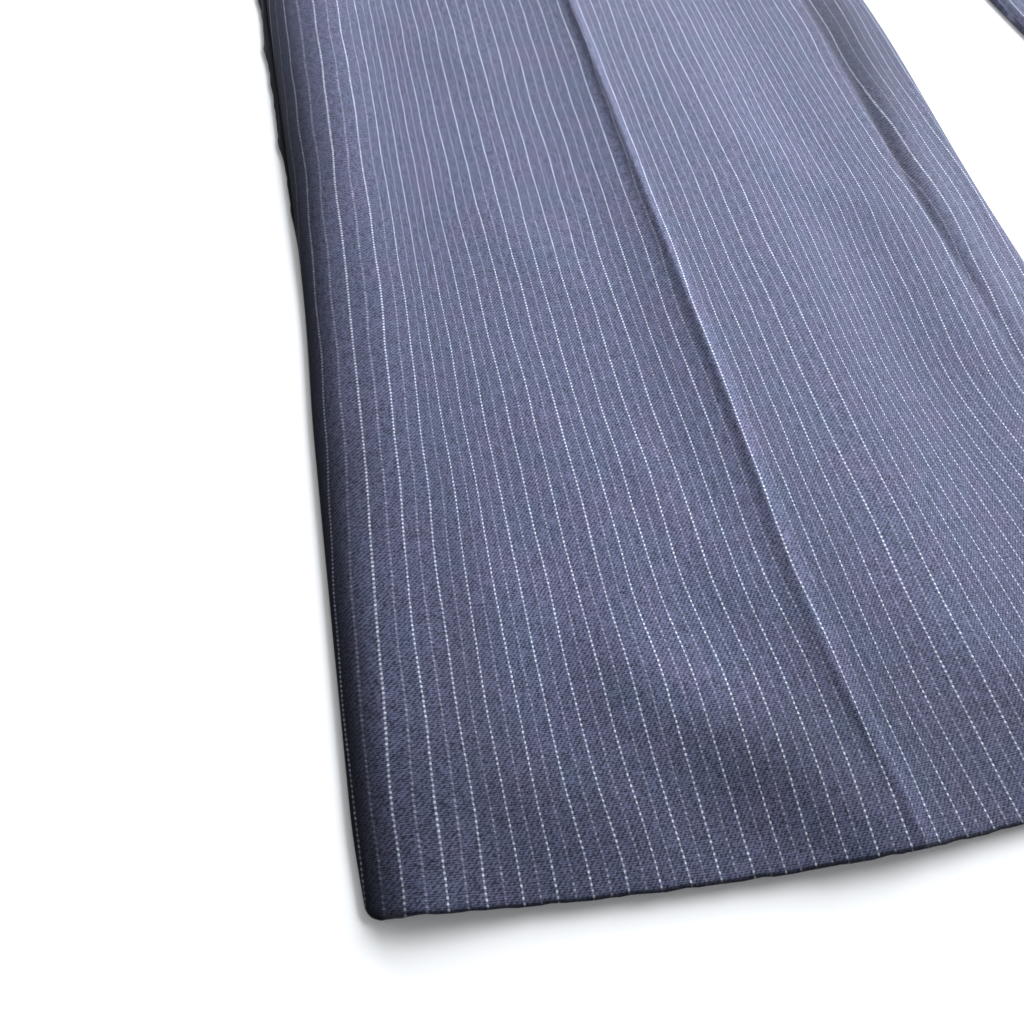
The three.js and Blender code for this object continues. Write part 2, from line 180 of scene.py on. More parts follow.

# Painted shade along the side seams, on the back's edge that shows past one, and along the hem, standing in
# for the shadow where the cloth turns away from the light.
# The shade runs from 0, the plain cloth, to 1, black. SEAM_SHADE's rows are (distance from the edge, as a
# share of the shade's width, and shade).
SEAM_SHADE = [(0, 0.99), (0.2, 0.97), (0.33, 0.9), (0.5, 0.76), (0.75, 0.6), (1.05, 0.36), (1.4, 0.16),
              (2, 0)]
SEAM_SHADE_WIDTH = [(0, 3.6), (20, 4.8), (42, 5.4), (65, 5), (92, 4.6), (122, 4.8), (158, 5.5), (225, 12),
                    (290, 13), (420, 11), (700, 8), (1004.8, 6)]
OTHER_SEAM_SHADE = 0.35  # the seams outside the photograph have this share of it
BACK_SHADE = 0.99
BACK_SHADE_REACH = (6, 12)  # from the back's edge: dark up to the first distance, plain past the second
HEM_SHADE = [(0, 0.95), (0.5, 0.88), (1.1, 0.5), (2.2, 0.4), (16, 0.38), (42, 0.13), (70, 0)]
STRIPE_SHADE = 0.88  # share of the shade that the stripes take
# The rim past the crest catches the light: how much by height, how far past it and how wide
RIM_LIGHT = [(0, 0.15), (60, 0.36), (120, 0.32), (250, 0.3), (400, 0.15), (1004.8, 0)]
RIM_PLACE = 1.8
RIM_WIDTH = 1.7
# Cloth that turns away from the light inside the photographed outseam: rows of (distance from the edge,
# shade) and its strength by height
OUTER_SHADE = [(0, 0.26), (12, 0.24), (24, 0.16), (40, 0.06), (60, 0)]
OUTER_STRENGTH = [(0, 0.4), (40, 0.7), (80, 1), (150, 1), (230, 0.3), (300, 0), (1004.8, 0)]
# Painted light and shade: soft lighter and darker places on the right front, where its folds catch or lose
# the light; a light one's shade is below 0
PaintedShading = namedtuple("PaintedShading", "name x height reach_x reach_height shade")
PAINTED_SHADING = [
    PaintedShading("dark beside the outseam roll", -79, 50, 10, 62, 0.3),
    PaintedShading("dark on that roll", -100, 98, 7, 16, 0.2),
    PaintedShading("dark above the hem's corner", -66, 4, 16, 16, 0.18),
    PaintedShading("dark below the hem's bulge", -22, 20, 13, 13, 0.22),
    PaintedShading("dark under that bulge's outer end", -46, 46, 12, 12, 0.15),
    PaintedShading("dark by the crest's foot", 6, 48, 22, 36, 0.17),
    PaintedShading("dark before the crest", -11, 140, 6, 55, 0.09),
    PaintedShading("light inside the outseam roll", -60, 235, 9, 50, -0.1),
    PaintedShading("light inside the crest", -32, 190, 22, 80, -0.13),
    PaintedShading("light past the crest", 51, 220, 20, 105, -0.3),
    PaintedShading("dark beside the inseam", 102, 268, 15, 55, 0.36),
]

# Sewing: a stitch's length, the gap after it and half its thread's width
STITCH = 2.5
STITCH_GAP = 0.9
STITCH_RADIUS = 0.27
STITCH_SUNK = 0.03  # a stitch's ends lie this far under the cloth's top
TOPSTITCH_INSET = 4.5  # from the fly's curved edge
BAR_TACKS = [(0.19, 6.5), (0.62, 6.5)]  # share of the way along the topstitching from its foot, and length
TACK_ROWS = 7
TACK_PITCH = 0.42
BUTTONHOLE_LENGTH = 19
BUTTONHOLE_START = 0.4  # it starts this share of the button's radius before the button's middle
BUTTONHOLE_WIDTH = 3.4
BUTTONHOLE_PITCH = 0.55
BUTTONHOLE_SLIT = 0.25  # half the width of its slit
BUTTONHOLE_END_STITCHES = 9
BUTTON_THREAD = 0.38
BUTTON_THREAD_RISE = 1.0
BUTTON_THREAD_LANES = (-0.35, 0.35)
BUTTON_THREAD_DEPTH = 0.5  # its bars start this far under the button's top

# Suiting: pitches of its stripes, beads and yarns
STRIPE_PITCH = 6.35
BEAD_LOOK = (0.55, 1.0)  # share of the stripe's colour on its dullest and its brightest beads
CREST_STRIPE = 16  # the crease runs on this bright stripe, counted from the outseam
BEAD_PITCH = 1.05
TWILL_ACROSS = 1.0  # the twill's ribs are this far apart across the cloth, and BEAD_PITCH along it
WEFT_PITCH = 0.42
# Its two yarn colours
NAVY = (0.088, 0.1005, 0.1655)
MAUVE = (0.0995, 0.0995, 0.168)
RAISED = 1.8  # the weave's raised yarns show these colours times this
SUNK = 0.24  # and its sunk ones show them times this
BRIGHT_COLOUR = (0.78, 0.84, 0.98)
FAINT_COLOUR = (0.45, 0.45, 0.57)
# A kind of stripe: its place between the bright ones, as a share of their pitch, half its width and half a
# bead's length in millimetres, and the share of its colour on the thread between its beads
Stripe = namedtuple("Stripe", "offset half_width half_bead thread")
BRIGHT_STRIPE = Stripe(0.0, 0.21, 0.27, 0.16)
FAINT_STRIPE = Stripe(0.5, 0.22, 0.25, 0.16)
# Shares of the weave's parts in its relief and its light and dark, and the sums that are sunk and raised
RIB_SHARE = 0.19
WEFT_SHARE = 0.2
YARN_SHARE = 0.2
PICK_SHARE = 0.3
FLECK_SHARE = 0.4
SPECK_SHARE = 1.0
SLUB_SHARE = 0.35
WEAVE_RANGE = (1.035, 1.615)

# Sideways shift of the stripes where the cloth is eased or pushed, in millimetres towards the inseam.
# amounts are rows of (height, shift), x is where the shift is greatest and reach how far it spreads.
Shift = namedtuple("Shift", "name x reach amounts")
RIGHT_SHIFTS = [
    Shift("drawn to the outseam at the hem", -97, 9,
          [(0, -1.5), (25, -1.2), (45, -0.8), (75, -0.2), (110, 0)]),
    Shift("eased in at the outseam", -107, 9,
          [(0, -2.8), (60, -4.2), (120, -3), (200, -2.5), (312, -4.4), (460, -1)]),
    Shift("pushed off the outseam roll", -82, 12,
          [(0, 0.5), (60, 0.3), (90, 1.6), (120, 2.4), (150, 3.4), (250, 3.8), (310, 2.9), (460, 0)]),
    Shift("drawn back beside it", -55, 14,
          [(5, 1.5), (35, -0.5), (120, -0.8), (200, -2), (310, -1.9), (460, 0)]),
    Shift("middle of the outer half", -30, 13,
          [(0, 0.2), (35, 0.2), (60, -1.2), (150, -1.8), (200, -0.9), (250, -0.3), (310, 0.7), (460, 0)]),
    Shift("beside the crest", -7, 13,
          [(5, -0.4), (35, 0.7), (60, -1.8), (90, -0.8), (120, -1.4), (200, -0.1), (310, 1.5), (460, 0)]),
    Shift("past the crest", 18, 13,
          [(0, -1), (35, -3), (90, -3), (150, -2.6), (200, -1.3), (250, -0.4), (310, 2.4), (460, 0)]),
    Shift("past the crest's edge", 1, 5,
          [(0, 0.3), (60, 0.5), (90, 0.7), (132, 1.6), (190, 1.9), (300, 1.7), (420, 0)]),
    Shift("crowded before the step", 83, 9,
          [(0, -1), (100, -1.4), (150, -1.6), (197, -5.6), (235, -4.2), (275, -1.4), (340, 0)]),
    Shift("let out at the inseam", 108, 16,
          [(0, 0), (160, 1), (235, 0.8), (285, 4.7), (400, 0)]),
]
LEFT_SHIFTS = [
    Shift("eased in at the outseam", -107, 10, [(0, -2.4), (300, -3), (460, 0)]),
    Shift("pushed off the outseam roll", -80, 14, [(0, 0.4), (60, 1), (140, 2.6), (260, 2.2), (420, 0)]),
    Shift("drawn back beside it", -50, 16, [(0, 0.8), (120, -0.8), (240, -1.4), (420, 0)]),
    Shift("beside the crest", -8, 15, [(0, 0.6), (70, -1.2), (160, -0.8), (300, 1), (460, 0)]),
    Shift("past the crest", 30, 20, [(0, -0.6), (90, -2), (240, -1), (420, 0)]),
]
# Cloth taken up in the roll before the photographed inseam, which crowds the stripes there
TAKE_UP = [(0, -7), (60, -15), (104, -21), (136, -18.4), (183, -14), (285, -15.4), (400, -6), (500, 0)]
TAKE_UP_START = [(0, 32), (104, 27), (183, 31), (285, 38), (500, 40)]
TAKE_UP_WIDTH = 40

# Photograph's view: where its camera stood and how it was turned
CAMERA_PLACE = (-229.4, -530.7, 169.2)
CAMERA_RIGHT = (0.98228, -0.18420, 0.02705)
CAMERA_UP = (0.14564, 0.85194, 0.50346)
FOCAL_PIXELS = 800
IMAGE_PIXELS = 1024
SENSOR = 36

# Stage
FLOOR_HALF = 4.0  # in metres
FLOOR_LEVEL = -0.2  # just under the cloth
LIGHTS = [
    # name, place in metres, side of its square in metres, watts
    ("right_window", Vector((1.9, 0.45, 1.25)), 1.5, 128),
    ("far_window", Vector((0.55, 1.75, 0.85)), 1.0, 34),
]
LIGHT_AIM = Vector((-0.15, -0.35, 0))
LIGHT_COLOUR = (0.94, 0.97, 1.0)
SKY = (0.95, 0.97, 1.0, 1)
SKY_STRENGTH = 0.40


def make_camera():
    data = bpy.data.cameras.new("camera")
    data.sensor_width = SENSOR
    data.lens = SENSOR * FOCAL_PIXELS / IMAGE_PIXELS
    data.clip_start = 0.005
    camera = bpy.data.objects.new("camera", data)
    bpy.context.scene.collection.objects.link(camera)
    right = Vector(CAMERA_RIGHT).normalized()
    back = right.cross(Vector(CAMERA_UP)).normalized()
    turn = Matrix((right, back.cross(right), back)).transposed()
    camera.matrix_world = Matrix.Translation(Vector(CAMERA_PLACE) * MM) @ turn.to_4x4()
    bpy.context.scene.camera = camera


# Curves and folds

def along(table, at):
    """A smooth curve through (place, value) rows, kept flat at peaks so that it never passes them."""
    places, values = np.array(table, float).T
    slopes = np.diff(values) / np.diff(places)
    before, after = slopes[:-1], slopes[1:]
    same_way = before * after > 0
    inner = np.where(same_way, 2 * before * after / np.where(same_way, before + after, 1), 0)
    tangents = np.concatenate([slopes[:1], inner, slopes[-1:]])
    at = np.clip(at, places[0], places[-1])
    i = np.clip(np.searchsorted(places, at, side="right") - 1, 0, len(places) - 2)
    span = places[i + 1] - places[i]
    t = (at - places[i]) / span
    start = values[i] * (2 * t**3 - 3 * t**2 + 1) + tangents[i] * span * (t**3 - 2 * t**2 + t)
    end = values[i + 1] * (3 * t**2 - 2 * t**3) + tangents[i + 1] * span * (t**3 - t**2)
    return start + end


def smooth(share):
    share = np.clip(share, 0, 1)
    return share * share * (3 - 2 * share)


def bell(distance, width):
    return np.exp(-((distance / width) ** 2))


def fold_rise(fold, x, height):
    """Highest on the line between the fold's ends, and fading past them."""
    dx, dy = fold.x2 - fold.x1, fold.y2 - fold.y1
    length = np.hypot(dx, dy)
    run = ((x - fold.x1) * dx + (height - fold.y1) * dy) / length
    across = ((x - fold.x1) * dy - (height - fold.y1) * dx) / length
    past = np.maximum(0, np.maximum(-run, run - length))
    return fold.rise * np.exp(-(across**2 + past**2) / fold.reach**2)


def uneven(at, longest, seed):
    """A wandering line between about -1 and 1 whose longest wave is given."""
    waves = [np.sin(2 * np.pi * at / (longest * 0.62**i) + seed * (i + 1.7)) * 0.75**i for i in range(5)]
    return sum(waves) / 2


def hem_dip(share):
    return HEM_DIP * (1 - np.abs(share) ** DIP_POWER)


def hem_y(height, share, inset):
    """Height on the leg as the garment's Y; the hem's dip fades out over the lowest rows."""
    fade = np.maximum(0, 1 - height / DIP_FADE)
    return HEM_Y + height + (inset - hem_dip(share)) * fade


def crease_lift(x, height):
    x = x - along(CREST_LINE, height)
    section = np.where(x < 0, along(CREASE_OUTER, x), along(CREASE_INNER, x))
    return along(CREASE_STRENGTH, height) * CREASE_HEIGHT * section


def past_step(x, height):
    """Distance past the step's line, in the step's own widths."""
    return (x - along(STEP_LINE, height)) / along(STEP_SPREAD, height)


def step_lift(x, height):
    return STEP_RISE * along(STEP_STRENGTH, height) * along(STEP, past_step(x, height))


def front_underside(x, height, seam_distance, folds, small=(), ease_width=SEAM_EASE):
    """Underside of a front panel above the surface that the garment lies on."""
    ease = smooth(seam_distance / ease_width)
    near_band = np.clip((SEAM_HEIGHT - height) / BAND_EASE, 0, 1)
    lift = LOFT + crease_lift(x, height)
    if folds is RIGHT_FOLDS:
        lift = lift + step_lift(x, height)
    for fold in (*folds, *small):
        lift = lift + fold_rise(fold, x, height)
    return CLOTH + SEAM_GAP + np.maximum(0, lift) * ease * near_band


# Grids of places

def graded(length, first, last, growth, most):
    """Places from 0 to length with short steps at both ends."""
    places = [0.0]
    while places[-1] < length:
        here = places[-1]
        step = min(most, first + growth * here, last + growth * max(0, length - here))
        places.append(here + step)
    return np.array(places) * (length / places[-1])


def panel_columns(outseam, inseam):
    """Columns of a leg panel: fine at both edges, at the crest of the crease and at the step."""
    outer = -outseam * (1 - graded(1, 0.0008, 0.004, 0.22, 0.021))
    before_step = STEP_PLACE * graded(1, 0.005, 0.007, 0.22, 0.023)
    past_step_line = STEP_PLACE + (1 - STEP_PLACE) * graded(1, 0.026, 0.004, 0.16, 0.075)
    return np.concatenate([outer, inseam * before_step[1:], inseam * past_step_line[1:]])


def panel_rows():
    low = graded(FINE_ROWS, 0.06, 3.2, 0.25, 3.2)
    high = FINE_ROWS + graded(SEAM_HEIGHT - FINE_ROWS, 3.4, 0.2, 0.25, 5.2)
    return np.concatenate([low, high[1:]])


def corner_inset(height):
    """How far the hem's rounded corners draw the side seams in."""
    rise = np.clip(height / CORNER_RADIUS, 0, 1)
    return CORNER_RADIUS * (1 - np.sqrt(1 - (1 - rise) ** 2))


def half_round(distance, radius):
    """Half thickness of a rounded rim at this distance from it."""
    share = np.clip(1 - distance / radius, 0, 1)
    return radius * np.sqrt(1 - share**2)


def wall_half(x, distances):
    """Half the thickness of a panel's wall, rounded off at its edges."""
    half = np.full_like(x, CLOTH / 2)
    for distance in distances:
        half = np.minimum(half, half_round(distance, CLOTH / 2))
    return half


def panel_places(outseam_extra, inset):
    """Grids of x, height, Y and the distances to the outseam, inseam and hem for one leg panel."""
    rows = panel_rows()
    grids = []
    for height in rows:
        outseam = float(along(OUTSEAM, height) + outseam_extra(height) - corner_inset(height))
        inner = min(float(along(INSEAM, height)), CREASE_X - SEAM_GAP / 2) - corner_inset(height)
        x = panel_columns(outseam, inner)
        share = np.where(x < 0, -x / outseam, x / inner)
        y = hem_y(height, share, inset)
        rag = HEM_RAG * uneven(x, 13, 2.1) * np.exp(-height / 4)
        to_out = x + outseam
        to_in = inner - x
        grids.append((x, np.full_like(x, height), y + rag, to_out, to_in))
    x, height, y, to_out, to_in = (np.stack(column) for column in zip(*grids))
    to_hem = y - y[:1]
    to_band = y[-1:] - y
    return x, height, y, to_out, to_in, to_hem, to_band


# Meshes

def new_object(name, points, faces, layers=None):
    """A smooth mesh object from points in millimetres, with named layers of two values at each point."""
    mesh = bpy.data.meshes.new(name)
    mesh.from_pydata((np.asarray(points) * MM).tolist(), [], np.asarray(faces).tolist())
    for layer_name, values in (layers or {}).items():
        layer = mesh.uv_layers.new(name=layer_name)
        layer.uv.foreach_set("vector", np.asarray(values, np.float32)[np.ravel(faces)].ravel())
    mesh.shade_smooth()
    piece = bpy.data.objects.new(name, mesh)
    bpy.context.scene.collection.objects.link(piece)
    return piece


def shell(name, top, under, grain, shade=None):
    """A closed skin from two grids of points that meet along their border.

    grain is each point's place in the weave, in millimetres, and shade how dark the painted light and shade
    makes the cloth there.
    """
    rows, columns = top.shape[:2]
    on_top = np.arange(rows * columns).reshape(rows, columns)
    below = on_top.copy()
    inner = (slice(1, -1), slice(1, -1))
    below[inner] = rows * columns + np.arange((rows - 2) * (columns - 2)).reshape(rows - 2, columns - 2)
    points = np.concatenate([top.reshape(-1, 3), under[inner].reshape(-1, 3)])
    if shade is None:
        shade = np.zeros((rows, columns))
    layers = {}
    for layer_name, grid in (("grain", grain), ("shade", np.stack([shade, shade], axis=-1))):
        layers[layer_name] = np.concatenate([grid.reshape(-1, 2), grid[inner].reshape(-1, 2)])
    faces = np.concatenate([quads(on_top), quads(below)[:, ::-1]])
    return new_object(name, points, faces, layers)


def quads(index):
    corners = [index[:-1, :-1], index[:-1, 1:], index[1:, 1:], index[1:, :-1]]
    return np.stack(corners, axis=-1).reshape(-1, 4)


def cloth_shell(name, x, y, middle, half, grain_x, grain_y, shade, is_left):
    """A panel's shell; the wearer's left one is mirrored, with its weave running as on the right."""
    side = -1 if is_left else 1
    world_x = side * (x - CREASE_X)
    top = np.stack([world_x, y, middle + half], axis=-1)
    under = np.stack([world_x, y, middle - half], axis=-1)
    grain = np.stack([side * grain_x + CREST_STRIPE * STRIPE_PITCH, grain_y], axis=-1)
    if is_left:
        top, under, grain, shade = top[:, ::-1], under[:, ::-1], grain[:, ::-1], shade[:, ::-1]
    return shell(name, top, under, grain, shade)


def cloth_shade(x, height, to_edge, to_hem, seam_share, is_photographed):
    """Painted light and shade: how dark the cloth is along the outseam and the hem, and lighter past the
    crest.
    """
    seam = seam_share * along(SEAM_SHADE, to_edge / along(SEAM_SHADE_WIDTH, height))
    hem = along(HEM_SHADE, to_hem)
    past_crest = x - along(CREST_LINE, height) - RIM_PLACE
    rim = along(RIM_LIGHT, height) * bell(past_crest, RIM_WIDTH)
    kept = (1 - seam) * (1 - hem) * (1 + rim)
    if is_photographed:
        kept = kept * (1 - along(STEP_SHADE, height) * along(STEP_DARK, past_step(x, height)))
        kept = kept * (1 - along(OUTER_STRENGTH, height) * along(OUTER_SHADE, to_edge))
        for tone in PAINTED_SHADING:
            spread = bell(x - tone.x, tone.reach_x) * bell(height - tone.height, tone.reach_height)
            kept = kept * (1 - tone.shade * spread)
    return 1 - kept


def grain_place(x, height, shifts, taken_up):
    """Distance from the crease in the weave of the cloth that lies at x."""
    moved = x.copy()
    for shift in shifts:
        moved = moved - along(shift.amounts, height) * bell(x - shift.x, shift.reach)
    if taken_up:
        share = smooth((x - along(TAKE_UP_START, height)) / TAKE_UP_WIDTH)
        moved = moved - along(TAKE_UP, height) * share
    return moved


def front_panel(name, folds, shifts, is_photographed, is_left):
    def roll_out(height):
        return float(along(ROLL_OUT, height)) if is_photographed else 0

    x, height, y, to_out, to_in, to_hem, to_band = panel_places(roll_out, 0)
    below_crotch = smooth((CROTCH_HEIGHT + 5 - height) / 10)
    turn_in = EDGE_DROP * below_crotch * (1 - smooth(to_in / EDGE_TURN))
    seam = np.where(height > CROTCH_HEIGHT, to_out, np.minimum(to_out, to_in))
    if is_photographed:
        ease_width = np.where(to_out < to_in, OUT_EASE, SEAM_EASE)
        shelf = 1 - smooth((height - SHELF_FADE[0]) / (SHELF_FADE[1] - SHELF_FADE[0]))
        back_shows = np.clip(along(BACK_SHOWS, height) / 2, 0, 1)
        plain = EDGE_DROP * (1 - smooth(to_out / EDGE_TURN)) * (1 - back_shows)
        turn_out = shelf * SHELF_DROP * (1 - along(SHELF, to_out)) + (1 - shelf) * plain
    else:
        ease_width = SEAM_EASE
        turn_out = EDGE_DROP * (1 - smooth(to_out / EDGE_TURN))
    under = front_underside(x, height, seam, folds, SMALL_FOLDS, ease_width)
    half = wall_half(x, (to_out, to_in, to_hem, to_band))
    middle = under + CLOTH / 2 - turn_out - turn_in
    grain_x = grain_place(x, height, shifts, is_photographed)
    # painted shade along the outseam and the hem, and on the right front the painted light and shade of its
    # folds
    to_edge = to_out + along(BACK_SHOWS, height) * is_photographed
    seam_share = 1 if is_photographed else OTHER_SEAM_SHADE
    shade = cloth_shade(x, height, to_edge, to_hem, seam_share, is_photographed)
    return cloth_shell(name, x, y, middle, half, grain_x, height, shade, is_left)


def back_panel(name, shows_past, is_left):
    def extra(height):
        if not shows_past:
            return -BACK_TUCK
        shows = float(along(BACK_SHOWS, height))
        rag = BACK_RAG * float(uneven(height, 47, 0.6)) * min(1, shows / 2)
        return shows + rag - BACK_TUCK * (1 - min(1, shows / 2))

    x, height, y, to_out, to_in, to_hem, to_band = panel_places(extra, BACK_HEM_INSET)
    half = wall_half(x, (to_out, to_in, to_hem, to_band))
    middle = np.full_like(x, CLOTH / 2)
    shade = np.zeros_like(x)
    if shows_past:
        # painted shade on the back's edge where it shows past the outseam
        dark_to, plain_from = BACK_SHADE_REACH
        shade = BACK_SHADE * (1 - smooth((to_out - dark_to) / (plain_from - dark_to)))
    return cloth_shell(name, x, y, middle, half, x, height, shade, is_left)


# Waistband and fly

def band_path(end_x, end_lift):
    """(x, z) points round the side of one half of the band, from the back's centre to the front's."""
    low = BAND / 2
    high = low + BAND + SEAM_GAP
    radius = (high - low) / 2
    angles = np.linspace(0, np.pi, 11)[1:-1]
    back = [(-x, low) for x in np.linspace(SEAM_GAP / 2, WAIST_HALF, 60)]
    turn = [(-WAIST_HALF - radius * np.sin(a), low + radius * (1 - np.cos(a))) for a in angles]
    front = [(-x, high) for x in np.linspace(WAIST_HALF, LAP_START, 60)]
    rise = [(x, high + end_lift * float(smooth((x + LAP_START) / (LAP_START - LAP_LEVEL))))
            for x in np.linspace(-LAP_START, end_x, 24)[1:]]
    return np.array(back + turn + front + rise)


def waistband(name, is_left):
    lift = BAND + SEAM_GAP
    path = band_path(BAND_LAP, lift) if is_left else band_path(-SEAM_GAP, 0)
    steps = np.gradient(path, axis=0)
    steps /= np.linalg.norm(steps, axis=1, keepdims=True)
    normal = np.stack([-steps[:, 1], steps[:, 0]], axis=1)
    run = np.concatenate([[0], np.cumsum(np.linalg.norm(np.diff(path, axis=0), axis=1))])
    up = graded(WAISTBAND_HEIGHT, 0.08, 0.08, 0.3, 1.6)
    end = np.minimum(run, run[-1] - run)[:, None]
    to_rim = np.minimum(np.minimum(up, WAISTBAND_HEIGHT - up)[None, :], end)
    half = half_round(to_rim, BAND / 2)
    centre = path[:, None, :] + np.zeros((1, len(up), 1))

    def skin(side):
        moved = centre + side * normal[:, None, :] * half[..., None]
        y = BAND_LOW_Y + np.broadcast_to(up, half.shape)
        return np.stack([moved[..., 0], y, moved[..., 1]], axis=-1)

    grain_x = np.broadcast_to(up + BAND_GRAIN_START, half.shape)
    grain_y = np.broadcast_to(run[:, None], half.shape)
    grain = np.stack([grain_x, grain_y], axis=-1)
    outer, inner = skin(-1), skin(1)
    if is_left:
        outer, inner = outer * (-1, 1, 1), inner * (-1, 1, 1)
    grids = [grid.transpose(1, 0, 2) for grid in (inner, outer, grain)]
    if is_left:
        grids = [grid[:, ::-1] for grid in grids]
    return shell(name, *grids)


def front_top(x, height):
    """Top of the two fronts near the centre seam, x from that seam."""
    crease_x = CREASE_X - np.abs(x)
    to_out = crease_x + along(OUTSEAM, height)
    right = front_underside(crease_x, height, to_out, RIGHT_FOLDS, SMALL_FOLDS)
    left = front_underside(crease_x, height, to_out, LEFT_FOLDS, SMALL_FOLDS)
    return np.where(x > 0, left, right) + CLOTH


def fly_angles():
    """Angles along the fly's curved edge, from its foot up to the band."""
    return np.linspace(0, np.pi / 2, 46)


def fly_width(angle):
    return FLY_WIDTH * np.sin(angle) ** FLY_ROUNDNESS + FLY_TIP


def fly():
    """The left front's facing along the centre seam, thinning out to its stitched edge."""
    angle = fly_angles()[:, None]
    height = SEAM_HEIGHT - FLY_LENGTH * np.cos(angle)
    width = fly_width(angle)
    across = graded(1, 0.002, 0.01, 0.25, 0.06)[None, :]
    x = -FLY_LAP + (width + FLY_LAP) * across
    height = np.broadcast_to(height, x.shape)
    to_edge = np.minimum(x + FLY_LAP, width - x)
    to_end = np.minimum(SEAM_HEIGHT - height, height - height[:1])
    half = np.minimum(half_round(to_edge, FLY_HALF), half_round(to_end, FLY_HALF))
    middle = front_top(x, height) + SEAM_GAP / 2 + half
    y = HEM_Y + height
    top = np.stack([x, y, middle + half], axis=-1)
    under = np.stack([x, y, middle - half], axis=-1)
    grain = np.stack([x - CREASE_X + CREST_STRIPE * STRIPE_PITCH, height], axis=-1)
    return shell("fly_cloth", top, under, grain)


# Sewing

def tube(points, radius):
    """Points and faces of a round thread along points, closed at both ends."""
    points = np.asarray(points, float)
    way = np.gradient(points, axis=0)
    way /= np.linalg.norm(way, axis=1, keepdims=True)
    side = np.cross(way, (0, 0, 1))
    side /= np.linalg.norm(side, axis=1, keepdims=True)
    up = np.cross(side, way)
    angles = np.linspace(0, 2 * np.pi, 9)[:-1]
    thickness = radius * np.ones(len(points))
    thickness[[0, -1]] *= 0.5
    ring = np.cos(angles)[None, :, None] * side[:, None] + np.sin(angles)[None, :, None] * up[:, None]
    skin = points[:, None] + ring * thickness[:, None, None]
    index = np.arange(skin.shape[0] * 8).reshape(-1, 8)
    around = np.concatenate([index, index[:, :1]], axis=1)
    lids = [ring[[a, b, c, d]] for ring in (index[0], index[-1][::-1])
            for a, b, c, d in ((0, 1, 2, 3), (0, 3, 4, 7), (4, 5, 6, 7))]
    return skin.reshape(-1, 3), np.concatenate([quads(around), lids])


def thread_piece(name, tubes):
    points = np.concatenate([skin for skin, _ in tubes])
    firsts = np.cumsum([0] + [len(skin) for skin, _ in tubes])
    faces = np.concatenate([first + skin_faces for first, (_, skin_faces) in zip(firsts, tubes)])
    return new_object(name, points, faces)


def stitch(start, end, radius=STITCH_RADIUS, rise=STITCH_RADIUS):
    """One stitch over the cloth, whose ends dive into it."""
    start, end = np.asarray(start, float), np.asarray(end, float)
    share = np.linspace(0, 1, 7)[:, None]
    points = start + (end - start) * share
    points[:, 2] += rise * np.sin(np.pi * share[:, 0]) ** 0.6 - STITCH_SUNK
    return tube(points, radius)


def fly_top(x, height):
    return front_top(x, height) + SEAM_GAP / 2 + 2 * FLY_HALF


def topstitch_line():
    """The stitched line inside the fly's curved edge, from its foot up to the band."""
    angle = np.linspace(0.14, np.pi / 2, 400)
    height = SEAM_HEIGHT - (FLY_LENGTH - TOPSTITCH_INSET) * np.cos(angle)
    x = fly_width(angle) - TOPSTITCH_INSET
    return np.stack([x, height], axis=1)[height < SEAM_HEIGHT - 1]


def fly_stitching():
    line = topstitch_line()
    run = np.concatenate([[0], np.cumsum(np.linalg.norm(np.diff(line, axis=0), axis=1))])

    def place(at):
        x, height = (np.interp(at, run, line[:, axis]) for axis in (0, 1))
        return np.array([x, HEM_Y + height, float(fly_top(np.array(x), np.array(height)))])

    starts = np.arange(0.5, run[-1] - STITCH, STITCH + STITCH_GAP)
    tubes = [stitch(place(at), place(at + STITCH)) for at in starts]
    for share, length in BAR_TACKS:
        middle = place(share * run[-1])
        for row in range(TACK_ROWS):
            aside = np.array([length / 4, 0, 0])
            centre = middle + np.array([-length / 2, (row - TACK_ROWS // 2) * TACK_PITCH, 0])
            ends = [centre - aside, centre + aside]
            for end in ends:
                end[2] = float(fly_top(np.array(end[0]), np.array(end[1] - HEM_Y)))
            tubes.append(stitch(*ends))
    return thread_piece("fly_stitching", tubes)


def button_stitching():
    """Two bars of thread through the button's four holes, and the worked buttonhole under it."""
    low, high = (np.array(corner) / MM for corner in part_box("waist_button"))
    x, y = (low[:2] + high[:2]) / 2
    reach = HOLE_CIRCLE / np.sqrt(2)
    tubes = []
    for side in (-1, 1):
        for lane in BUTTON_THREAD_LANES:
            across = y + side * reach + lane
            level = high[2] - BUTTON_THREAD_DEPTH
            ends = ((x - reach, across, level), (x + reach, across, level))
            tubes.append(stitch(*ends, BUTTON_THREAD, BUTTON_THREAD_RISE))
    band_top = low[2] - SEAM_GAP
    middle = x + BUTTONHOLE_LENGTH / 2 - BUTTON_RADIUS * BUTTONHOLE_START
    straight = BUTTONHOLE_LENGTH - BUTTONHOLE_WIDTH
    radius = BUTTONHOLE_WIDTH / 2
    for at in np.arange(0, straight, BUTTONHOLE_PITCH):
        for side in (-1, 1):
            place = np.array([middle - straight / 2 + at, y, band_top])
            tubes.append(stitch(place + (0, side * BUTTONHOLE_SLIT, 0), place + (0, side * radius, 0)))
    for end, turn in ((-1, np.pi / 2), (1, -np.pi / 2)):
        for angle in np.linspace(turn, turn + np.pi, BUTTONHOLE_END_STITCHES):
            way = np.array([np.cos(angle), np.sin(angle), 0])
            place = np.array([middle + end * straight / 2, y, band_top])
            tubes.append(stitch(place + way * BUTTONHOLE_SLIT, place + way * radius))
    return thread_piece("button_stitching", tubes)
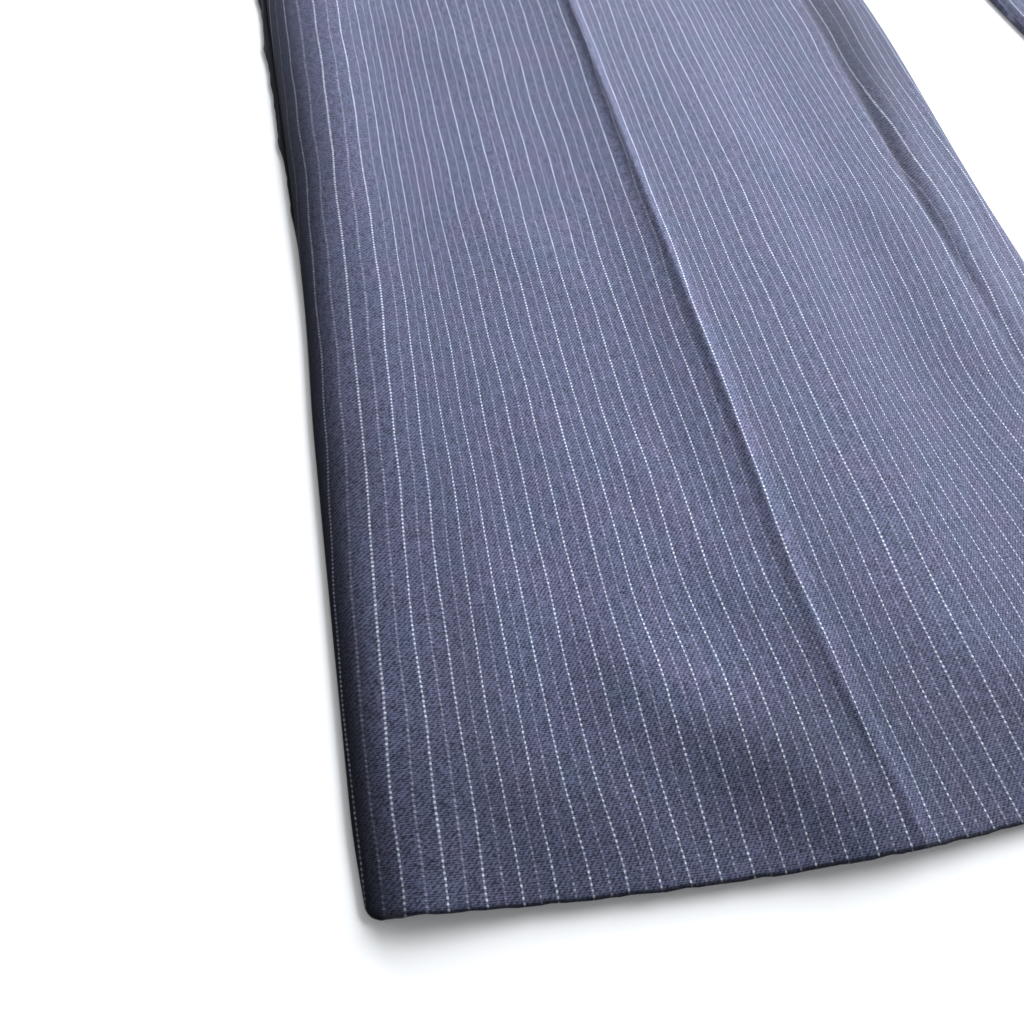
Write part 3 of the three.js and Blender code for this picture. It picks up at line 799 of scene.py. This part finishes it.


# Materials

class Nodes:
    """The shader nodes of one material, each added and linked in one call."""

    def __init__(self, name):
        self.material = bpy.data.materials.new(name)
        self.material.use_nodes = True
        self.tree = self.material.node_tree
        self.tree.nodes.clear()

    def add(self, kind, inputs=None, **settings):
        node = self.tree.nodes.new("ShaderNode" + kind)
        for key, value in settings.items():
            setattr(node, key, value)
        for key, value in (inputs or {}).items():
            if isinstance(value, bpy.types.NodeSocket):
                self.tree.links.new(value, node.inputs[key])
            else:
                node.inputs[key].default_value = value
        return node

    def math(self, operation, *values):
        return self.add("Math", dict(enumerate(values)), operation=operation).outputs[0]

    def ramp(self, value, low, high, low_to=0.0, high_to=1.0):
        inputs = {"Value": value, "From Min": low, "From Max": high, "To Min": low_to, "To Max": high_to}
        return self.add("MapRange", inputs, interpolation_type="SMOOTHSTEP").outputs[0]

    def mix(self, share, first, second):
        node = self.add("Mix", {"Factor": share}, data_type="RGBA")
        for place, colour in ((6, first), (7, second)):
            if isinstance(colour, bpy.types.NodeSocket):
                self.tree.links.new(colour, node.inputs[place])
            else:
                node.inputs[place].default_value = (*colour, 1)
        return node.outputs[2]

    def scale(self, vector, by):
        return self.add("VectorMath", {0: vector, "Scale": by}, operation="SCALE").outputs[0]

    def stretch(self, vector, x, y):
        return self.add("VectorMath", {0: vector, 1: (x, y, 1)}, operation="MULTIPLY").outputs[0]

    def noise(self, vector, scale, detail=3.0, roughness=0.5):
        inputs = {"Vector": vector, "Scale": scale, "Detail": detail, "Roughness": roughness}
        return self.add("TexNoise", inputs).outputs["Fac"]

    def finish(self, shader):
        output = self.add("OutputMaterial")
        self.tree.links.new(shader.outputs[0], output.inputs[0])
        return self.material


def from_middle(n, place, pitch):
    """Distance from the middle of the pitch that a place lies in."""
    return n.math("MULTIPLY", n.math("ABSOLUTE", n.math("SUBTRACT", n.math("FRACT", place), 0.5)), pitch)


def beaded_stripe(n, u, v, stripe):
    """Share of a stripe's colour: beads along evenly spaced lines, on a fainter thread between them."""
    place = n.math("ADD", n.math("DIVIDE", u, STRIPE_PITCH), 0.5 - stripe.offset)
    count = n.math("FLOOR", place)
    aside = from_middle(n, place, STRIPE_PITCH)
    start = n.add("TexWhiteNoise", {"W": count}, noise_dimensions="1D").outputs["Value"]
    bead = n.math("ADD", n.math("DIVIDE", v, BEAD_PITCH), start)
    lengthwise = from_middle(n, bead, BEAD_PITCH)
    which = n.add("CombineXYZ", {0: count, 1: n.math("FLOOR", bead)}).outputs[0]
    look = n.add("TexWhiteNoise", {"Vector": which}, noise_dimensions="2D").outputs["Value"]
    across = n.math("POWER", n.math("DIVIDE", aside, stripe.half_width), 2.0)
    along_it = n.math("POWER", n.math("DIVIDE", lengthwise, stripe.half_bead), 2.0)
    bead_mask = n.ramp(n.math("ADD", across, along_it), 1.7, 0.35)
    bead_mask = n.math("MULTIPLY", bead_mask, n.ramp(look, 0.0, 1.0, *BEAD_LOOK))
    line = n.ramp(aside, stripe.half_width * 1.1, stripe.half_width * 0.4, 0.0, stripe.thread)
    return n.math("MAXIMUM", bead_mask, line)


def wave(n, turns):
    """A sine wave from 0 to 1 that repeats at each whole turn."""
    sine = n.math("SINE", n.math("MULTIPLY", turns, 2 * np.pi))
    return n.math("MULTIPLY_ADD", sine, 0.5, 0.5)


def suiting():
    n = Nodes("pinstripe_worsted")
    grain = n.add("UVMap", uv_map="grain").outputs[0]
    parts = n.add("SeparateXYZ", {0: grain})
    u, v = parts.outputs[0], parts.outputs[1]
    # Unevenness of the cloth, from broad patches of one yarn to single picks
    patches = n.noise(grain, 0.07, 3.0, 0.6)
    flecks = n.noise(grain, 2.6, 3.0, 0.65)
    specks = n.noise(grain, 1.7, 2.0, 0.7)
    yarns = n.noise(n.stretch(grain, 3.4, 0.35), 1.0, 2.0)
    picks = n.noise(n.stretch(grain, 0.5, 2.9), 1.0, 2.0)
    wander = n.math("MULTIPLY", n.math("SUBTRACT", n.noise(grain, 0.8, 1.0), 0.5), 0.25)
    drift = n.noise(n.stretch(grain, 0.09, 0.04), 1.0, 0.0)
    drift = n.math("MULTIPLY", n.math("SUBTRACT", drift, 0.5), 1.1)
    u_soft = n.math("ADD", n.math("ADD", u, drift), wander)

    rib = n.math("SUBTRACT", n.math("DIVIDE", u_soft, TWILL_ACROSS), n.math("DIVIDE", v, BEAD_PITCH))
    rib = n.math("ADD", rib, n.math("MULTIPLY", flecks, 0.9))
    rib_wave = wave(n, rib)
    weft_wave = wave(n, n.math("DIVIDE", n.math("ADD", v, n.math("MULTIPLY", flecks, 0.3)), WEFT_PITCH))
    slubs = n.noise(n.stretch(grain, 0.9, 0.3), 1.0, 2.0)
    weave = n.math("MULTIPLY", rib_wave, RIB_SHARE)
    for share, part in ((WEFT_SHARE, weft_wave), (YARN_SHARE, yarns), (PICK_SHARE, picks),
                        (FLECK_SHARE, flecks), (SPECK_SHARE, specks), (SLUB_SHARE, slubs)):
        weave = n.math("ADD", weave, n.math("MULTIPLY", part, share))

    base = n.mix(n.ramp(patches, 0.35, 0.65), NAVY, MAUVE)
    tone = n.ramp(weave, *WEAVE_RANGE, SUNK, RAISED)
    # painted light and shade from the shade layer darkens the ground, and the stripes by STRIPE_SHADE's share
    shade = n.add("SeparateXYZ", {0: n.add("UVMap", uv_map="shade").outputs[0]}).outputs[0]
    kept = n.math("SUBTRACT", 1.0, shade)
    kept_by_stripes = n.math("MULTIPLY_ADD", shade, -STRIPE_SHADE, 1.0)
    ground = n.scale(n.scale(base, tone), kept)

    faint = beaded_stripe(n, u_soft, v, FAINT_STRIPE)
    bright = beaded_stripe(n, u_soft, v, BRIGHT_STRIPE)
    worn = n.ramp(n.noise(grain, 0.7, 3.0), 0.3, 0.7, 0.35, 1.0)
    colour = n.mix(n.math("MULTIPLY", faint, worn), ground, n.scale(FAINT_COLOUR, kept_by_stripes))
    shown = n.math("MULTIPLY", bright, n.ramp(flecks, 0.3, 0.6, 0.7, 1.0))
    colour = n.mix(shown, colour, n.scale(BRIGHT_COLOUR, kept_by_stripes))

    relief = n.math("ADD", weave, n.math("MULTIPLY", n.math("MAXIMUM", faint, bright), 0.4))
    bump = n.add("Bump", {"Height": relief, "Strength": 0.6, "Distance": 0.00012})
    shader = n.add("BsdfPrincipled", {
        "Base Color": colour,
        "Normal": bump.outputs[0],
        "Roughness": 0.66,
        "Specular IOR Level": 0.11,
        "Specular Tint": (0.74, 0.82, 1.0, 1),
        "Sheen Weight": 0.03,
        "Sheen Roughness": 0.65,
        "Sheen Tint": (0.60, 0.66, 1.0, 1),
    })
    return n.finish(shader)


def sewing_thread():
    n = Nodes("sewing_thread")
    place = n.add("TexCoord").outputs["Object"]
    twist = n.noise(n.scale(place, 1 / MM), 3.0, 2.0)
    colour = n.mix(n.ramp(twist, 0.35, 0.65), (0.045, 0.052, 0.085), (0.10, 0.11, 0.165))
    bump = n.add("Bump", {"Height": twist, "Strength": 0.4, "Distance": 0.0001})
    shader = n.add("BsdfPrincipled", {"Base Color": colour, "Normal": bump.outputs[0], "Roughness": 0.5})
    return n.finish(shader)


def horn():
    n = Nodes("button_horn")
    place = n.add("TexCoord").outputs["Object"]
    streaks = n.add("VectorMath", {0: place, 1: (260, 60, 60)}, operation="MULTIPLY").outputs[0]
    cloud = n.noise(streaks, 6.0, 5.0, 0.6)
    colour = n.mix(n.ramp(cloud, 0.3, 0.7), (0.010, 0.011, 0.020), (0.045, 0.042, 0.060))
    bump = n.add("Bump", {"Height": cloud, "Strength": 0.1, "Distance": 0.0001})
    shader = n.add("BsdfPrincipled", {
        "Base Color": colour,
        "Normal": bump.outputs[0],
        "Roughness": 0.32,
        "Coat Weight": 0.25,
        "Coat Roughness": 0.2,
    })
    return n.finish(shader)


def pale_floor():
    n = Nodes("pale_floor")
    shader = n.add("BsdfPrincipled", {"Base Color": (0.93, 0.925, 0.92, 1), "Roughness": 0.9})
    return n.finish(shader)


# Stage: a plain pale floor and plain soft studio light, most of it from the right

def make_stage():
    h = FLOOR_HALF / MM
    corners = [(x, y, FLOOR_LEVEL) for x, y in ((-h, -h), (h, -h), (h, h), (-h, h))]
    floor = new_object("floor", corners, [(0, 1, 2, 3)])
    floor.data.materials.append(pale_floor())
    for name, place, side, watts in LIGHTS:
        light = bpy.data.lights.new(name, "AREA")
        light.size = side
        light.energy = watts
        light.color = LIGHT_COLOUR
        panel = bpy.data.objects.new(name, light)
        panel.location = place
        panel.rotation_euler = (LIGHT_AIM - place).to_track_quat("-Z", "Y").to_euler()
        bpy.context.scene.collection.objects.link(panel)
    world = bpy.data.worlds.new("studio")
    world.use_nodes = True
    background = world.node_tree.nodes["Background"]
    background.inputs["Color"].default_value = SKY
    background.inputs["Strength"].default_value = SKY_STRENGTH
    bpy.context.scene.world = world
    bpy.context.scene.view_settings.view_transform = "Standard"


def main():
    make_camera()
    cloth = suiting()
    pieces = {
        "back_right_cloth": back_panel("back_right_cloth", True, False),
        "back_left_cloth": back_panel("back_left_cloth", False, True),
        "front_right_cloth": front_panel("front_right_cloth", RIGHT_FOLDS, RIGHT_SHIFTS, True, False),
        "front_left_cloth": front_panel("front_left_cloth", LEFT_FOLDS, LEFT_SHIFTS, False, True),
        "waistband_right_cloth": waistband("waistband_right_cloth", False),
        "waistband_left_cloth": waistband("waistband_left_cloth", True),
        "fly_cloth": fly(),
    }
    for name, piece in pieces.items():
        piece.data.materials.append(cloth)
        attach(piece, "root")
        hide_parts(name.replace("_cloth", ""))
    thread = sewing_thread()
    for piece in (fly_stitching(), button_stitching()):
        piece.data.materials.append(thread)
        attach(piece, "root")
    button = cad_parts["waist_button"]
    button.data.materials.clear()
    button.data.materials.append(horn())
    make_stage()


main()
